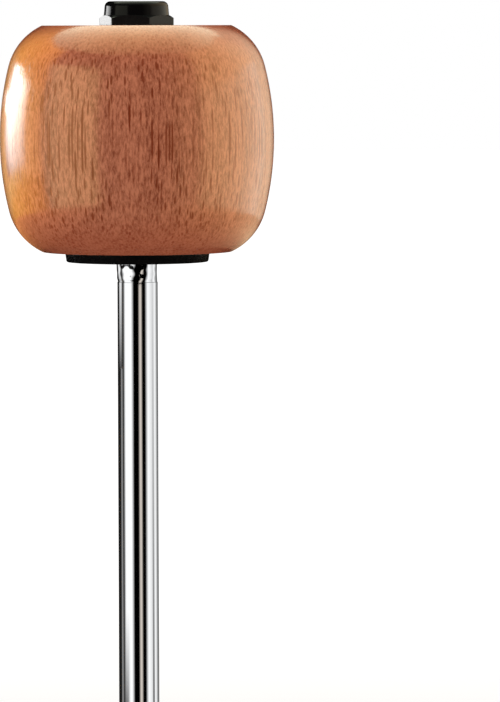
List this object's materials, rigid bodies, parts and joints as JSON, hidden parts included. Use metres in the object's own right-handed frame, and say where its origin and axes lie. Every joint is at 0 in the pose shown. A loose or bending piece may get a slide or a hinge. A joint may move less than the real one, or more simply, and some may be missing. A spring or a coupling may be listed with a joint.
{
  "type": "bass drum beater",
  "caption": "Bass drum beater: a turned wooden barrel head, clamped by a lock nut on a round chromed shaft that a pedal's clamp holds.",
  "frame": {"origin": "centre of the shaft's free lower end", "axes": "+Z along the shaft towards the head, -Y towards the picture's camera, +X to the picture's right"},
  "size_m": [0.0542, 0.0542, 0.2155],
  "materials": {
    "chromed_steel": "polished chrome plate",
    "black_nylon": "moulded, glossy",
    "lacquered_hardwood": "stained and clear lacquered",
    "black_plated_washer": "black zinc plate",
    "black_plated_nut": "black zinc plate",
    "natural_nylon": "natural nylon"
  },
  "bodies": {
    "shaft": {"shaft": "chromed_steel", "support_washer": "black_nylon"},
    "head": {"beater_head": "lacquered_hardwood", "top_washer": "black_plated_washer"},
    "lock_ring": {"lock_nut_ring": "natural_nylon"},
    "lock_nut": {"lock_nut": "black_plated_nut"}
  },
  "joints": [
    {"name": "head_turn", "type": "hinge", "parent": "shaft", "child": "head", "pos_m": [0, 0, 0.188], "axis": [0, 0, 1], "continuous": true},
    {"name": "nut_lift", "type": "slide", "parent": "shaft", "child": "lock_ring", "axis": [0, 0, 1], "range_m": [0, 0.0075]},
    {"name": "nut_turn", "type": "hinge", "parent": "lock_ring", "child": "lock_nut", "pos_m": [0, 0, 0.2115], "axis": [0, 0, 1], "range_deg": [0, 2160]}
  ],
  "couplings": [
    {"joint": "nut_lift", "follows": "nut_turn", "m_per_rad": 0.00019894}
  ]
}
